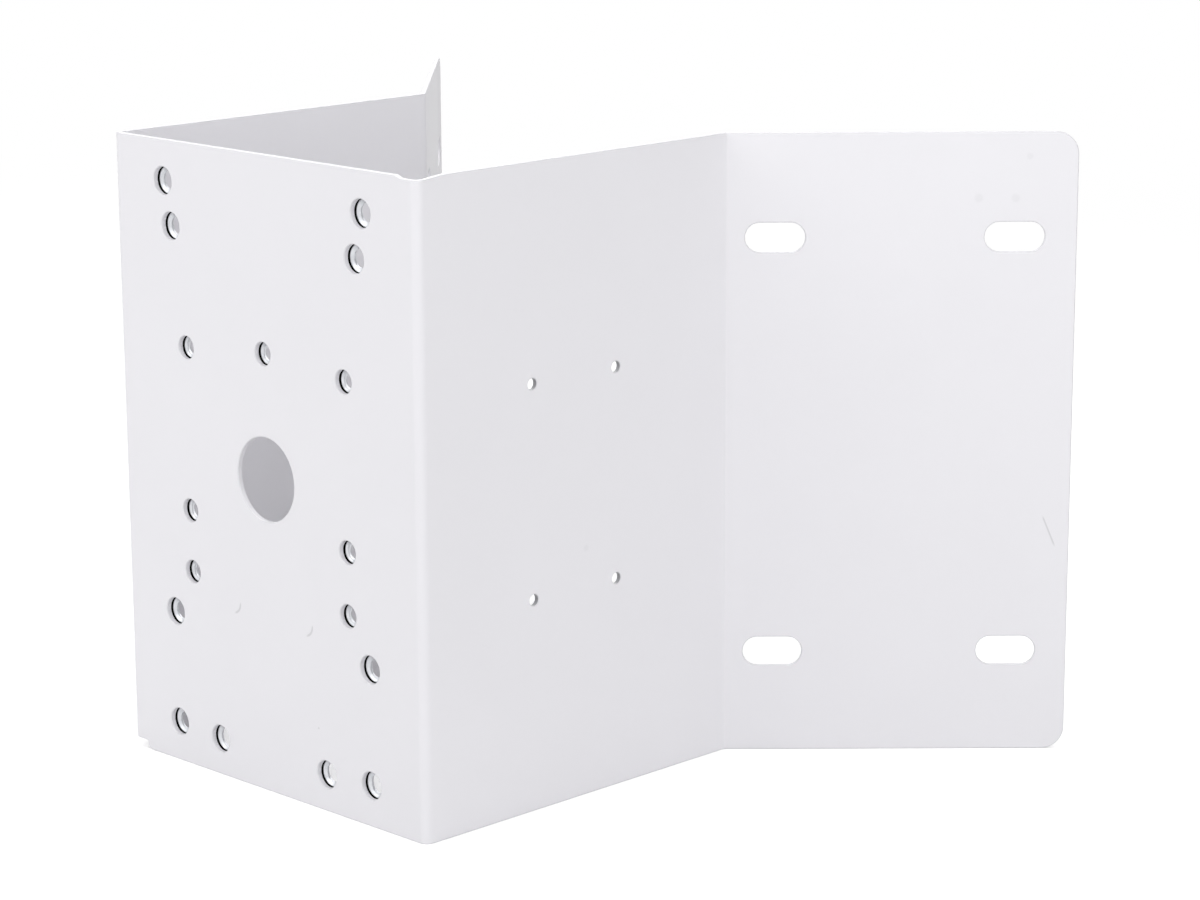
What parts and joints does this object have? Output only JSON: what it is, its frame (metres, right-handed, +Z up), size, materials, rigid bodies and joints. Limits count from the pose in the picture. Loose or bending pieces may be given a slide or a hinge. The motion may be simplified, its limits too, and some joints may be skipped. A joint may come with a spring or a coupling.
{
  "type": "camera corner mount bracket",
  "caption": "Folded sheet-steel bracket that carries a camera on an outside building corner, with threaded press nuts in its front plate and slots in its angled flanges.",
  "frame": {"origin": "centre of the cable hole, in the front surface of the front plate", "axes": "-Y out of the front plate, +Z up, +X to the right seen from the front"},
  "size_m": [0.2516, 0.1768, 0.17],
  "materials": {
    "powder_coat": "satin white powder coat with a fine texture",
    "zinc_steel": "bright zinc plate"
  },
  "bodies": {
    "root": {"folded_bracket": "powder_coat", "large_press_nuts": "zinc_steel", "small_press_nuts": "zinc_steel"}
  },
  "joints": []
}
